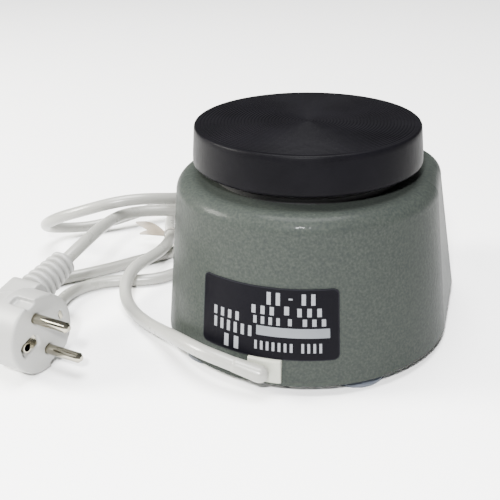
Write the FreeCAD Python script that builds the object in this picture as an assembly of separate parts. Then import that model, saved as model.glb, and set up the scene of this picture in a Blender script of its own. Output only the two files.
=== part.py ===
import FreeCAD, Part
import math
import os

from FreeCAD import Placement, Rotation, Vector

# A small electromagnetic bench vibrator.
# Millimetres, +Z up. The origin is on the ground, on the upright axis of the round platform.
# The control panel faces -Y. The rating label and the mains lead are at the back, +Y.

# ---------------------------------------------------------------- driving dimensions
REAR_RADIUS = 70.0          # plan radius of the housing's round back, at its foot
FRONT_HALF_WIDTH = 67.5     # half the width across the front corners, at its foot
FRONT_DISTANCE = 85.0       # axis to the front face, at its foot
CORNER_RADIUS = 38.0
DRAFT = 7.5                 # how far the walls lean in from foot to shoulder
FRONT_LEAN = 22.5           # how far the front face leans in from foot to shoulder
HOUSING_FOOT_Z = 5.0
SHOULDER_Z = 73.0
HOUSING_TOP_Z = 81.0
SHOULDER_ROUND = 8.0
WALL = 4.0
TOP_WALL = 5.0
STEM_HOLE_RADIUS = 14.0

PLATFORM_TOP_Z = 104.8
PLATFORM_BOTTOM_Z = 87.4
PLATFORM_TOP_RADIUS = 52.6
PLATFORM_BOTTOM_RADIUS = 54.0
TRAVEL = 0.8                # the platform moves this far each way

BASE_Z = 6.5                # underside of the base plate
BASE_THICKNESS = 2.0
FLOOR_Z = BASE_Z + BASE_THICKNESS

FOOT_RADIUS = 13.5
REAR_FOOT = (34.5, 42.0)
FRONT_FOOT = (42.0, -50.0)

CORE_WIDTH = 54.0
CORE_DEPTH = 28.0
CORE_Z = 12.0
CORE_HEIGHT = 35.0
AIR_GAP = 2.2

CORD_RADIUS = 3.25
CORD_REST = CORD_RADIUS + 0.1
CROSSING_Z = 10.3           # centre of the lead where it lies on another stretch of itself

PIN_RADIUS = 2.4
PIN_LENGTH = 19.0
PIN_PITCH = 19.0

os.makedirs("parts", exist_ok=True)
NODES = {}


# ---------------------------------------------------------------- helpers
def save(name, shape):
    """Writes one sub-part and keeps it for the checks at the end."""
    shape = shape.removeSplitter()
    NODES[name] = shape
    shape.exportStep(os.path.join("parts", name + ".step"))


def cylinder(radius, z0, z1, x=0.0, y=0.0):
    return Part.makeCylinder(radius, z1 - z0, Vector(x, y, z0))


def ring(inner, outer, z0, z1, x=0.0, y=0.0):
    return cylinder(outer, z0, z1, x, y).cut(cylinder(inner, z0 - 1, z1 + 1, x, y))


def box(x0, x1, y0, y1, z0, z1):
    return Part.makeBox(x1 - x0, y1 - y0, z1 - z0, Vector(x0, y0, z0))


def revolved(profile):
    """Turns a closed outline of (radius, z) points about the Z axis."""
    points = [Vector(r, 0, z) for r, z in profile]
    wire = Part.makePolygon(points + points[:1])
    return Part.Face(wire).revolve(Vector(0, 0, 0), Vector(0, 0, 1), 360)


def rounded_box(x0, x1, y0, y1, z0, z1, radius):
    """A box whose four upright edges are round."""
    solid = box(x0, x1, y0, y1, z0, z1)
    upright = [e for e in solid.Edges if abs(e.Vertexes[0].Z - e.Vertexes[1].Z) > 1e-6]
    return solid.makeFillet(radius, upright)


def joined(shapes):
    shapes = list(shapes)
    return shapes[0].multiFuse(shapes[1:]) if len(shapes) > 1 else shapes[0]


def group(shapes):
    """Separate solids that share one node."""
    return Part.makeCompound(list(shapes))


def save_group(name, shapes):
    shape = group(shapes)
    NODES[name] = shape
    shape.exportStep(os.path.join("parts", name + ".step"))


# ---------------------------------------------------------------- the housing's outline
def lean_at(z):
    """(inward lean of the walls, inward lean of the front) at a height."""
    share = (z - HOUSING_FOOT_Z) / (SHOULDER_Z - HOUSING_FOOT_Z)
    return DRAFT * share, FRONT_LEAN * share


def outline(z, inset=0.0):
    """The housing's outer outline at a height, moved inward by inset: round back, squarer front."""
    side, front = lean_at(z)
    radius = REAR_RADIUS - side - inset
    half = FRONT_HALF_WIDTH - side - inset
    y_front = -(FRONT_DISTANCE - front - inset)
    corner = CORNER_RADIUS - inset
    bulge = corner * math.sqrt(0.5)
    left = Vector(half - corner, y_front + corner, z)
    right = Vector(-(half - corner), y_front + corner, z)
    edges = [
        Part.Arc(Vector(radius, 0, z), Vector(0, radius, z), Vector(-radius, 0, z)).toShape(),
        Part.LineSegment(Vector(-radius, 0, z), right + Vector(-corner, 0, 0)).toShape(),
        Part.Arc(
            right + Vector(-corner, 0, 0), right + Vector(-bulge, -bulge, 0), right + Vector(0, -corner, 0)
        ).toShape(),
        Part.LineSegment(right + Vector(0, -corner, 0), left + Vector(0, -corner, 0)).toShape(),
        Part.Arc(
            left + Vector(0, -corner, 0), left + Vector(bulge, -bulge, 0), left + Vector(corner, 0, 0)
        ).toShape(),
        Part.LineSegment(left + Vector(corner, 0, 0), Vector(radius, 0, z)).toShape(),
    ]
    return Part.Wire(edges)


def housing_block(z0, z1, inset=0.0):
    """The solid between two heights of the housing's outline."""
    return Part.makeLoft([outline(z0, inset), outline(z1, inset)], True, True)


# ---------------------------------------------------------------- the sloping front panel
SLOPE = math.atan2(FRONT_LEAN, SHOULDER_Z - HOUSING_FOOT_Z)
PANEL_CENTRE_Z = 40.0
PANEL_CENTRE = Vector(0, -(FRONT_DISTANCE - lean_at(PANEL_CENTRE_Z)[1]), PANEL_CENTRE_Z)
PANEL_TURN = Rotation(Vector(1, 0, 0), 90 - math.degrees(SLOPE))
PANEL_PLACE = Placement(PANEL_CENTRE, PANEL_TURN)
PANEL_OUT = Vector(0, -math.cos(SLOPE), math.sin(SLOPE))
PANEL_THICKNESS = 1.2
KNOB_X = -19.0
SWITCH_X = 20.0


def on_panel(shape):
    """Moves a shape drawn on the panel (x right, y up the slope, z out of it) to its place."""
    moved = shape.copy()
    moved.Placement = PANEL_PLACE.multiply(moved.Placement)
    return moved


# ---------------------------------------------------------------- housing
BOSSES = [(58.0, 20.0), (-58.0, 20.0), (40.0, -74.0), (-40.0, -74.0)]
BOSS_TOP_Z = 30.0
BOSS_RADIUS = 5.0
SCREW_RADIUS = 2.0
GLAND_HALF_WIDTH = 7.6
GLAND_Z = (6.2, 17.6)
GLAND_DEPTH = 3.0


def gland_pocket(grow=0.0):
    """The shallow window in the back wall that the cord block sits in."""
    return box(
        -GLAND_HALF_WIDTH - grow, GLAND_HALF_WIDTH + grow,
        REAR_RADIUS - 8, REAR_RADIUS + 6, GLAND_Z[0] - grow, GLAND_Z[1] + grow,
    )


def housing():
    outer = housing_block(HOUSING_FOOT_Z, SHOULDER_Z)
    cap = Part.Face(outline(SHOULDER_Z)).extrude(Vector(0, 0, HOUSING_TOP_Z - SHOULDER_Z))
    rim = [e for e in cap.Edges if min(v.Z for v in e.Vertexes) > HOUSING_TOP_Z - 0.01]
    cap = cap.makeFillet(SHOULDER_ROUND - 0.2, rim)
    outer = outer.fuse(cap)
    inner = housing_block(HOUSING_FOOT_Z - 0.5, SHOULDER_Z, WALL)
    inner = inner.fuse(
        Part.Face(outline(SHOULDER_Z, WALL + 1.5)).extrude(
            Vector(0, 0, HOUSING_TOP_Z - TOP_WALL - SHOULDER_Z)
        )
    )
    shell = outer.cut(inner)
    bosses = joined(cylinder(BOSS_RADIUS, FLOOR_Z, BOSS_TOP_Z, x, y) for x, y in BOSSES)
    shell = shell.fuse(bosses.common(outer))
    for x, y in BOSSES:
        shell = shell.cut(cylinder(SCREW_RADIUS, FLOOR_Z - 1, FLOOR_Z + 14, x, y))
    shell = shell.cut(cylinder(STEM_HOLE_RADIUS, SHOULDER_Z, HOUSING_TOP_Z + 1))
    shell = shell.cut(gland_pocket(0.15))
    bushing_hole = Part.makeCylinder(4.6, 12, Vector(KNOB_X, 0, -8))
    switch_hole = box(SWITCH_X - 10.0, SWITCH_X + 10.0, -7.0, 7.0, -8, 4)
    for hole in (bushing_hole, switch_hole):
        shell = shell.cut(on_panel(hole))
    for x, y in PANEL_SCREWS:
        shell = shell.cut(on_panel(Part.makeCylinder(1.25, 9, Vector(x, y, -6))))
    return shell


PANEL_HALF_WIDTH = 38.0
PANEL_HALF_HEIGHT = 23.0
PANEL_SCREWS = [(sx * (PANEL_HALF_WIDTH - 4), sy * (PANEL_HALF_HEIGHT - 4)) for sx in (-1, 1) for sy in (-1, 1)]


def control_panel():
    plate = rounded_box(
        -PANEL_HALF_WIDTH, PANEL_HALF_WIDTH, -PANEL_HALF_HEIGHT, PANEL_HALF_HEIGHT, 0, PANEL_THICKNESS, 4.0
    )
    plate = plate.cut(Part.makeCylinder(4.6, 4, Vector(KNOB_X, 0, -1)))
    plate = plate.cut(box(SWITCH_X - 10.0, SWITCH_X + 10.0, -7.0, 7.0, -1, 3))
    for x, y in PANEL_SCREWS:
        plate = plate.cut(Part.makeCylinder(1.25, 4, Vector(x, y, -1)))
    return on_panel(plate)


def small_screw(x, y, z, length, radius, head_radius, head_height):
    """A pan-head screw whose head sits on z and whose shank goes down from it."""
    shank = Part.makeCylinder(radius, length, Vector(x, y, z - length))
    head = Part.makeCylinder(head_radius, head_height, Vector(x, y, z))
    slot = box(x - head_radius, x + head_radius, y - 0.4, y + 0.4, z + head_height - 0.7, z + head_height + 1)
    return shank.fuse(head).cut(slot)


def panel_screws():
    return [on_panel(small_screw(x, y, PANEL_THICKNESS, 6.0, 1.25, 2.4, 1.3)) for x, y in PANEL_SCREWS]


# ---------------------------------------------------------------- knob and its control
KNOB_RADIUS = 13.0
KNOB_HEIGHT = 14.0
KNOB_GAP = 1.0
SHAFT_RADIUS = 3.0


def intensity_knob():
    z0 = PANEL_THICKNESS + KNOB_GAP
    body = Part.makeCone(KNOB_RADIUS, KNOB_RADIUS - 1.2, KNOB_HEIGHT, Vector(KNOB_X, 0, z0))
    skirt = Part.makeCylinder(KNOB_RADIUS + 1.5, 2.0, Vector(KNOB_X, 0, z0))
    body = body.fuse(skirt)
    flutes = []
    for k in range(16):
        angle = 2 * math.pi * (k + 0.5) / 16
        x = KNOB_X + (KNOB_RADIUS + 0.9) * math.cos(angle)
        y = (KNOB_RADIUS + 0.9) * math.sin(angle)
        flutes.append(Part.makeCylinder(1.6, KNOB_HEIGHT, Vector(x, y, z0 + 2.6)))
    body = body.cut(joined(flutes))
    body = body.cut(Part.makeCylinder(SHAFT_RADIUS, 9.0, Vector(KNOB_X, 0, z0 - 1)))
    body = body.cut(Part.makeCylinder(7.6, 4.2, Vector(KNOB_X, 0, z0 - 1)))
    pointer = box(KNOB_X - 0.7, KNOB_X + 0.7, 3.0, KNOB_RADIUS, z0 + KNOB_HEIGHT - 0.6, z0 + KNOB_HEIGHT + 1)
    return on_panel(body.cut(pointer))


def control_shaft():
    z1 = PANEL_THICKNESS + KNOB_GAP + 8.0
    shaft = Part.makeCylinder(SHAFT_RADIUS, z1 + 9.0, Vector(KNOB_X, 0, -9.0))
    return on_panel(shaft)


def potentiometer():
    can = Part.makeCylinder(8.5, 9.0, Vector(KNOB_X, 0, -WALL - 10.2))
    bushing = Part.makeCylinder(4.4, 10.2, Vector(KNOB_X, 0, -WALL - 1.3))
    tabs = [box(KNOB_X + dx - 0.8, KNOB_X + dx + 0.8, -14.5, -7, -WALL - 9.0, -WALL - 8.4) for dx in (-5, 0, 5)]
    body = joined([can, bushing] + tabs)
    bore = Part.makeCylinder(SHAFT_RADIUS + 0.3, 16, Vector(KNOB_X, 0, -9.4))
    return on_panel(body.cut(bore))


def hexagon(across, x, y, z, height):
    radius = across / math.sqrt(3)
    points = [
        Vector(x + radius * math.cos(math.pi * k / 3), y + radius * math.sin(math.pi * k / 3), z) for k in range(7)
    ]
    return Part.Face(Part.makePolygon(points)).extrude(Vector(0, 0, height))


def control_nut():
    nut = hexagon(12.0, KNOB_X, 0, PANEL_THICKNESS, 2.2)
    return on_panel(nut.cut(Part.makeCylinder(4.4, 4, Vector(KNOB_X, 0, 0))))


# ---------------------------------------------------------------- rocker switch
ROCKER_PIVOT_Z = 1.0        # height of the rocker's axle above the housing's face
ROCKER_AXLE_RADIUS = 1.0
ROCKER_AXLE_REACH = 8.9     # from the rocker's middle to the end of each axle stub
ROCKER_ON_DEG = 18.0
ROCKER_REST_TILT = 9.0


def switch_body():
    bezel = rounded_box(SWITCH_X - 12.5, SWITCH_X + 12.5, -9.0, 9.0, PANEL_THICKNESS, PANEL_THICKNESS + 2.0, 1.5)
    case = box(SWITCH_X - 9.7, SWITCH_X + 9.7, -6.7, 6.7, -14.0, PANEL_THICKNESS)
    case = case.fuse(bezel)
    well = box(SWITCH_X - 7.8, SWITCH_X + 7.8, -5.6, 5.6, -7.5, 6)
    sockets = rocker_axle(ROCKER_AXLE_RADIUS + 0.15, ROCKER_AXLE_REACH + 0.2)
    return on_panel(case.cut(well).cut(sockets))


def rocker_axle(radius, reach):
    start = Vector(SWITCH_X - reach, 0, ROCKER_PIVOT_Z)
    return Part.makeCylinder(radius, 2 * reach, start, Vector(1, 0, 0))


def switch_rocker():
    """A rocker with two flat faces that meet over its axle; at rest its lower end is pressed in."""
    half = 7.3
    profile = [(-4.9, 3.6), (0.0, 2.5), (4.9, 3.6), (3.2, -3.4), (-3.2, -3.4)]
    points = [Vector(SWITCH_X - half, y, z) for y, z in profile]
    body = Part.Face(Part.makePolygon(points + points[:1])).extrude(Vector(2 * half, 0, 0))
    turned = body.copy()
    turned.rotate(Vector(0, 0, 0), Vector(1, 0, 0), ROCKER_REST_TILT)
    turned.translate(Vector(0, 0, ROCKER_PIVOT_Z))
    return on_panel(turned.fuse(rocker_axle(ROCKER_AXLE_RADIUS, ROCKER_AXLE_REACH)))


def switch_terminals():
    return [
        on_panel(box(SWITCH_X + dx - 0.4, SWITCH_X + dx + 0.4, dy - 2.2, dy + 2.2, -21.0, -14.0))
        for dx in (-5.5, 5.5)
        for dy in (-3.4, 3.4)
    ]


# ---------------------------------------------------------------- base, feet and their screws
FEET = [
    ("rear_left", (REAR_FOOT[0], REAR_FOOT[1])),
    ("rear_right", (-REAR_FOOT[0], REAR_FOOT[1])),
    ("front_left", (FRONT_FOOT[0], FRONT_FOOT[1])),
    ("front_right", (-FRONT_FOOT[0], FRONT_FOOT[1])),
]
FOOT_HOLE = 2.2
POSTS = [(sx * 27.0, sy * 25.0) for sx in (-1, 1) for sy in (-1, 1)]
POST_TOP_Z = 48.0
STANDOFFS = [(sx * 26.0, y) for sx in (-1, 1) for y in (-63.0, -41.0)]
BRACKET_BOLTS = [(sx * 33.0, 0.0) for sx in (-1, 1)]
EARTH_STUD = (-20.0, 55.0)
CLAMP_SCREWS = [(-9.0, 53.0), (9.0, 53.0)]


def base_plate():
    plate = housing_block(BASE_Z, FLOOR_Z, WALL + 0.4)
    holes = [(x, y, FOOT_HOLE) for _, (x, y) in FEET]
    holes += [(x, y, SCREW_RADIUS) for x, y in BOSSES]
    holes += [(x, y, 2.0) for x, y in BRACKET_BOLTS]
    for x, y, radius in holes:
        plate = plate.cut(cylinder(radius, BASE_Z - 1, FLOOR_Z + 1, x, y))
    return plate


def foot(x, y):
    """A rubber sucker foot: thin lip, shallow cup below, neck up to the base plate."""
    profile = [
        (FOOT_RADIUS - 2.4, 0.0), (FOOT_RADIUS, 0.0), (FOOT_RADIUS, 1.2), (10.5, 3.6), (7.5, 4.6), (7.5, BASE_Z),
        (2.2, BASE_Z), (2.2, 4.2), (4.6, 4.2), (4.6, 2.6), (9.0, 2.2),
    ]
    solid = revolved(profile)
    solid.translate(Vector(x, y, 0))
    return solid


def foot_screws():
    screws = []
    for _, (x, y) in FEET:
        head = cylinder(4.2, 2.6, 4.2, x, y)
        shank = cylinder(2.2, 4.2, FLOOR_Z + 4.0, x, y)
        screws.append(head.fuse(shank))
    return screws


def foot_nuts():
    return [hexagon(7.0, x, y, FLOOR_Z, 3.2).cut(cylinder(2.2, FLOOR_Z - 1, FLOOR_Z + 5, x, y)) for _, (x, y) in FEET]


def base_screws():
    screws = []
    for x, y in BOSSES:
        head = cylinder(3.6, BASE_Z - 1.9, BASE_Z, x, y)
        shank = cylinder(SCREW_RADIUS, BASE_Z, FLOOR_Z + 11.0, x, y)
        screws.append(head.fuse(shank))
    return screws


# ---------------------------------------------------------------- electromagnet
LEG = 9.0
CORE_TOP_Z = CORE_Z + CORE_HEIGHT


def magnet_core():
    core = box(-CORE_WIDTH / 2, CORE_WIDTH / 2, -CORE_DEPTH / 2, CORE_DEPTH / 2, CORE_Z, CORE_TOP_Z)
    for side in (-1, 1):
        x0 = side * LEG
        x1 = side * (CORE_WIDTH / 2 - LEG)
        window = box(min(x0, x1), max(x0, x1), -CORE_DEPTH, CORE_DEPTH, CORE_Z + 11.0, CORE_TOP_Z + 1)
        core = core.cut(window)
    return core


BOBBIN_Z0 = CORE_Z + 11.2
BOBBIN_Z1 = CORE_TOP_Z - 1.0


def bobbin():
    tube = box(-LEG - 1.2, LEG + 1.2, -CORE_DEPTH / 2 - 1.4, CORE_DEPTH / 2 + 1.4, BOBBIN_Z0, BOBBIN_Z1)
    for z in (BOBBIN_Z0, BOBBIN_Z1 - 1.2):
        tube = tube.fuse(box(-17.6, 17.6, -CORE_DEPTH / 2 - 9.5, CORE_DEPTH / 2 + 9.5, z, z + 1.2))
    return tube.cut(box(-LEG - 0.2, LEG + 0.2, -CORE_DEPTH / 2 - 0.2, CORE_DEPTH / 2 + 0.2, 0, 90))


def coil_winding():
    z0 = BOBBIN_Z0 + 1.2
    z1 = BOBBIN_Z1 - 1.2
    outer = rounded_box(-17.2, 17.2, -CORE_DEPTH / 2 - 8.8, CORE_DEPTH / 2 + 8.8, z0, z1, 5.0)
    return outer.cut(box(-LEG - 1.2, LEG + 1.2, -CORE_DEPTH / 2 - 1.4, CORE_DEPTH / 2 + 1.4, z0 - 1, z1 + 1))


def magnet_bracket():
    """A folded steel saddle that holds the core down on the base plate."""
    seat = box(-40, 40, -10, 10, FLOOR_Z, CORE_Z)
    sides = [
        box(-CORE_WIDTH / 2 - 2.0, -CORE_WIDTH / 2, -10, 10, CORE_Z, CORE_Z + 9.0),
        box(CORE_WIDTH / 2, CORE_WIDTH / 2 + 2.0, -10, 10, CORE_Z, CORE_Z + 9.0),
    ]
    saddle = joined([seat] + sides)
    for x, y in BRACKET_BOLTS:
        saddle = saddle.cut(cylinder(2.0, 0, 30, x, y))
    return saddle


def bracket_bolts():
    bolts = []
    for x, y in BRACKET_BOLTS:
        head = hexagon(7.0, x, y, CORE_Z, 3.0)
        shank = cylinder(2.0, BASE_Z - 0.5, CORE_Z, x, y)
        bolts.append(head.fuse(shank))
    return bolts


# ---------------------------------------------------------------- what vibrates
ARMATURE_Z0 = CORE_TOP_Z + AIR_GAP
ARMATURE_Z1 = ARMATURE_Z0 + 8.0
CARRIER_Z0 = 62.0
CARRIER_Z1 = 65.0
STEM_RADIUS = 9.0
PLATE_Z0 = 89.0
PLATE_Z1 = 96.0
PLATE_RADIUS = 47.0
CENTRE_SCREW = 3.0


def armature():
    return box(-CORE_WIDTH / 2, CORE_WIDTH / 2, -CORE_DEPTH / 2, CORE_DEPTH / 2, ARMATURE_Z0, ARMATURE_Z1)


def armature_spacer():
    return rounded_box(-12, 12, -10, 10, ARMATURE_Z1, CARRIER_Z0, 3.0)


def carrier_plate():
    plate = rounded_box(-36, 36, -33, 33, CARRIER_Z0, CARRIER_Z1, 10.0)
    return plate


def stem():
    body = cylinder(STEM_RADIUS, CARRIER_Z1, PLATE_Z0)
    return body.cut(cylinder(CENTRE_SCREW, PLATE_Z0 - 16, PLATE_Z0 + 1))


def platform_plate():
    plate = cylinder(PLATE_RADIUS, PLATE_Z0, PLATE_Z1)
    plate = plate.cut(cylinder(CENTRE_SCREW, PLATE_Z0 - 1, PLATE_Z1 + 1))
    return plate.cut(cylinder(6.2, PLATE_Z1 - 3.0, PLATE_Z1 + 1))


def platform_screw():
    head = cylinder(6.0, PLATE_Z1 - 3.0, PLATE_Z1 - 0.2)
    shank = cylinder(CENTRE_SCREW, PLATE_Z0 - 14.0, PLATE_Z1 - 3.0)
    return head.fuse(shank)


def platform_pad():
    """The rubber cap: a thick disc with a skirt that grips the plate's rim."""
    profile = [
        (0.0, PLATFORM_TOP_Z), (PLATFORM_TOP_RADIUS - 0.6, PLATFORM_TOP_Z),
        (PLATFORM_TOP_RADIUS, PLATFORM_TOP_Z - 0.6), (PLATFORM_BOTTOM_RADIUS, PLATFORM_BOTTOM_Z),
        (PLATE_RADIUS - 1.5, PLATFORM_BOTTOM_Z), (PLATE_RADIUS - 1.5, PLATE_Z0),
        (PLATE_RADIUS, PLATE_Z0), (PLATE_RADIUS, PLATE_Z1), (0.0, PLATE_Z1),
    ]
    return revolved(profile)


def buffers():
    """Four waisted rubber blocks that carry everything that vibrates."""
    blocks = []
    for x, y in POSTS:
        profile = [
            (0, POST_TOP_Z), (7.5, POST_TOP_Z), (7.5, POST_TOP_Z + 2), (6.0, POST_TOP_Z + 4.5),
            (6.0, CARRIER_Z0 - 4.5), (7.5, CARRIER_Z0 - 2), (7.5, CARRIER_Z0), (0, CARRIER_Z0),
        ]
        block = revolved(profile)
        block.translate(Vector(x, y, 0))
        blocks.append(block)
    return blocks


def buffer_posts():
    posts = []
    for x, y in POSTS:
        post = cylinder(5.0, FLOOR_Z, POST_TOP_Z, x, y).fuse(cylinder(7.5, POST_TOP_Z - 2.5, POST_TOP_Z, x, y))
        posts.append(post)
    return posts


def dust_seal():
    """A soft ring on the housing's top that fills most of the gap under the platform."""
    profile = [
        (38.0, HOUSING_TOP_Z), (45.0, HOUSING_TOP_Z), (45.0, HOUSING_TOP_Z + 2.0), (42.5, HOUSING_TOP_Z + 4.6),
        (40.5, HOUSING_TOP_Z + 4.6), (40.5, HOUSING_TOP_Z + 2.0), (38.0, HOUSING_TOP_Z + 2.0),
    ]
    return revolved(profile)


# ---------------------------------------------------------------- label
LABEL_HALF_ANGLE = 27.5
LABEL_Z = (17.8, 50.6)
LABEL_THICKNESS = 0.5
LABEL_CORNER = 2.4


def rating_label():
    """A thin plate with round corners, bent round the back wall and following its lean."""
    band = housing_block(LABEL_Z[0], LABEL_Z[1], -LABEL_THICKNESS).cut(
        housing_block(LABEL_Z[0] - 1, LABEL_Z[1] + 1, 0.0)
    )
    half = math.radians(LABEL_HALF_ANGLE)
    reach = []
    for z in LABEL_Z:
        wall = REAR_RADIUS - DRAFT * (z - HOUSING_FOOT_Z) / (SHOULDER_Z - HOUSING_FOOT_Z)
        reach.append((wall + LABEL_THICKNESS) * math.sin(half))
    low, high = reach
    outline = [
        Vector(-low, 40, LABEL_Z[0]), Vector(low, 40, LABEL_Z[0]),
        Vector(high, 40, LABEL_Z[1]), Vector(-high, 40, LABEL_Z[1]),
    ]
    window = Part.Face(Part.makePolygon(outline + outline[:1])).extrude(Vector(0, 45, 0))
    corners = [e for e in window.Edges if abs(e.Vertexes[0].Y - e.Vertexes[1].Y) > 1]
    return band.common(window.makeFillet(LABEL_CORNER, corners))


# ---------------------------------------------------------------- electrics inside
def control_board():
    board = box(-31, 31, -68, -36, FLOOR_Z + 6.0, FLOOR_Z + 7.6)
    for x, y in STANDOFFS:
        board = board.cut(cylinder(1.5, 0, 40, x, y))
    return board


def board_standoffs():
    return [cylinder(3.0, FLOOR_Z, FLOOR_Z + 6.0, x, y) for x, y in STANDOFFS]


def board_screws():
    return [
        cylinder(2.8, FLOOR_Z + 7.6, FLOOR_Z + 9.4, x, y).fuse(cylinder(1.5, FLOOR_Z + 6.0, FLOOR_Z + 7.6, x, y))
        for x, y in STANDOFFS
    ]


BOARD_TOP = FLOOR_Z + 7.6


def triac_and_heatsink():
    fins = [box(-20 + 4 * k, -18.6 + 4 * k, -48, -38, BOARD_TOP, BOARD_TOP + 15) for k in range(5)]
    web = box(-20, -2.6, -49.5, -48, BOARD_TOP, BOARD_TOP + 15)
    return joined([web] + fins)


def triac():
    return box(-16, -6, -54.0, -49.5, BOARD_TOP, BOARD_TOP + 12)


def board_capacitor():
    return box(4, 20, -50, -42, BOARD_TOP, BOARD_TOP + 11)


def board_fuse():
    glass = Part.makeCylinder(2.6, 20, Vector(2, -58, BOARD_TOP + 4.2), Vector(1, 0, 0))
    clips = [box(x, x + 3, -61.2, -54.8, BOARD_TOP, BOARD_TOP + 3.4) for x in (3.5, 17.5)]
    return joined([glass] + clips)


def terminal_block():
    block = box(-13, 13, 34, 44, FLOOR_Z, FLOOR_Z + 12)
    for x in (-8.5, 0, 8.5):
        block = block.cut(cylinder(2.2, FLOOR_Z + 7, FLOOR_Z + 13, x, 39))
        block = block.cut(Part.makeCylinder(1.8, 12, Vector(x, 33, FLOOR_Z + 4), Vector(0, 1, 0)))
    return block


def terminal_screws():
    return [cylinder(2.0, FLOOR_Z + 7, FLOOR_Z + 10, x, 39) for x in (-8.5, 0, 8.5)]


def cord_clamp():
    """A bridge over the lead's inner end, screwed to the base plate."""
    strap = box(-13, 13, 49, 57, FLOOR_Z, FLOOR_Z + 10)
    tunnel = Part.makeCylinder(CORD_RADIUS, 12, Vector(0, 47, FLOOR_Z + 3.9), Vector(0, 1, 0))
    strap = strap.cut(tunnel).cut(box(-CORD_RADIUS, CORD_RADIUS, 47, 59, FLOOR_Z - 1, FLOOR_Z + 3.9))
    for x, y in CLAMP_SCREWS:
        strap = strap.cut(cylinder(1.5, FLOOR_Z - 1, FLOOR_Z + 12, x, y))
    return strap


def clamp_screws():
    return [
        cylinder(1.5, FLOOR_Z, FLOOR_Z + 10, x, y).fuse(cylinder(2.8, FLOOR_Z + 10, FLOOR_Z + 12, x, y))
        for x, y in CLAMP_SCREWS
    ]


def inner_lead():
    """The lead inside the housing, from the cord block through the clamp."""
    return Part.makeCylinder(CORD_RADIUS, 19.6, Vector(0, 46, FLOOR_Z + 3.9), Vector(0, 1, 0))


def earth_stud():
    x, y = EARTH_STUD
    return cylinder(2.0, FLOOR_Z, FLOOR_Z + 9, x, y).fuse(hexagon(7, x, y, FLOOR_Z, 3))


# ---------------------------------------------------------------- cord block and its boot
def gland_flange():
    """The block's outside follows the round wall and stands a little proud of it."""
    proud = cylinder(REAR_RADIUS + 0.7, GLAND_Z[0], GLAND_Z[1])
    inner = cylinder(REAR_RADIUS - 4.4, GLAND_Z[0] - 1, GLAND_Z[1] + 1)
    return gland_pocket().common(proud).cut(inner)


BOOT_START = Vector(-1.0, 73.6, 12.2)
BOOT_END = Vector(11.5, 73.9, 14.9)
BOOT_WIDE = 4.3
BOOT_NARROW = 3.5


def cord_boot():
    """The moulded end of the lead: a taper with a round heel that beds on the block."""
    axis = BOOT_END - BOOT_START
    boot = Part.makeCone(BOOT_WIDE, BOOT_NARROW, axis.Length, BOOT_START, axis)
    boot = boot.fuse(Part.makeSphere(BOOT_WIDE, BOOT_START))
    return boot.cut(cylinder(REAR_RADIUS + 0.75, 0, 40))


# ---------------------------------------------------------------- plug
PLUG_FACE = Vector(102.5, 79.6, 18.9)
PIN_AZIMUTH = 169.4
PLUG_TILT = 15.0
PLUG_RADIUS = 18.7
PLUG_TURN = math.radians(PIN_AZIMUTH)
PLUG_OUT = Vector(math.cos(PLUG_TURN), math.sin(PLUG_TURN), 0)
PLUG_LEVEL = Vector(-math.sin(PLUG_TURN), math.cos(PLUG_TURN), 0)
PLUG_CORD = PLUG_LEVEL * math.cos(math.radians(PLUG_TILT)) + Vector(0, 0, math.sin(math.radians(PLUG_TILT)))
PLUG_ACROSS = PLUG_CORD.cross(PLUG_OUT)
RELIEF_BACK = 25.0          # the lead's axis is this far behind the plug's face
RELIEF_START = 23.0
RELIEF_END = 47.0
RELIEF_RIBS = 6
RELIEF_RIB_PITCH = 4.0


def on_plug(shape):
    """Moves a shape drawn on the plug (x towards the cord, y across the pins, z out of its face)."""
    matrix = FreeCAD.Matrix(
        PLUG_CORD.x, PLUG_ACROSS.x * -1, PLUG_OUT.x, PLUG_FACE.x,
        PLUG_CORD.y, PLUG_ACROSS.y * -1, PLUG_OUT.y, PLUG_FACE.y,
        PLUG_CORD.z, PLUG_ACROSS.z * -1, PLUG_OUT.z, PLUG_FACE.z,
        0, 0, 0, 1,
    )
    moved = shape.copy()
    moved.Placement = Placement(matrix).multiply(moved.Placement)
    return moved


EARTH_HOLE_X = -9.5         # the earth socket's place on the face, on the side away from the lead
EARTH_HOLE_RADIUS = 2.6
CLIP_X = 13.2               # the earth clip's slot, on the lead's side


def plug_body():
    front = Part.makeCylinder(PLUG_RADIUS, 14, Vector(0, 0, -14))
    back = Part.makeCone(12.0, PLUG_RADIUS - 0.4, 19, Vector(0, 0, -33))
    horn = rounded_box(0, RELIEF_START, -9, 9, -33, -16, 4.0)
    body = joined([front, back, horn])
    for side in (-1, 1):
        slot = box(-2.6, 2.6, PLUG_RADIUS - 2.2, PLUG_RADIUS + 3, -10, 2)
        slot.rotate(Vector(0, 0, 0), Vector(0, 0, 1), 90 - 90 * side)
        body = body.cut(slot)
        body = body.cut(Part.makeCylinder(PIN_RADIUS, 8, Vector(0, side * PIN_PITCH / 2, -7)))
    body = body.cut(rounded_box(EARTH_HOLE_X - 4.2, EARTH_HOLE_X + 6.4, -3.6, 3.6, -2.2, 1, 2.5))
    body = body.cut(Part.makeCylinder(EARTH_HOLE_RADIUS, 12, Vector(EARTH_HOLE_X, 0, -12)))
    body = body.cut(box(CLIP_X - 1.2, CLIP_X + 1.2, -2.4, 2.4, -9, 1))
    return on_plug(body)


def plug_pins():
    pins = []
    for side in (-1, 1):
        y = side * PIN_PITCH / 2
        shank = Part.makeCylinder(PIN_RADIUS, PIN_LENGTH + 5.5, Vector(0, y, -7))
        nose = Part.makeCone(PIN_RADIUS, PIN_RADIUS - 1.3, 1.5, Vector(0, y, PIN_LENGTH - 1.5))
        pins.append(on_plug(shank.fuse(nose)))
    return pins


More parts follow.
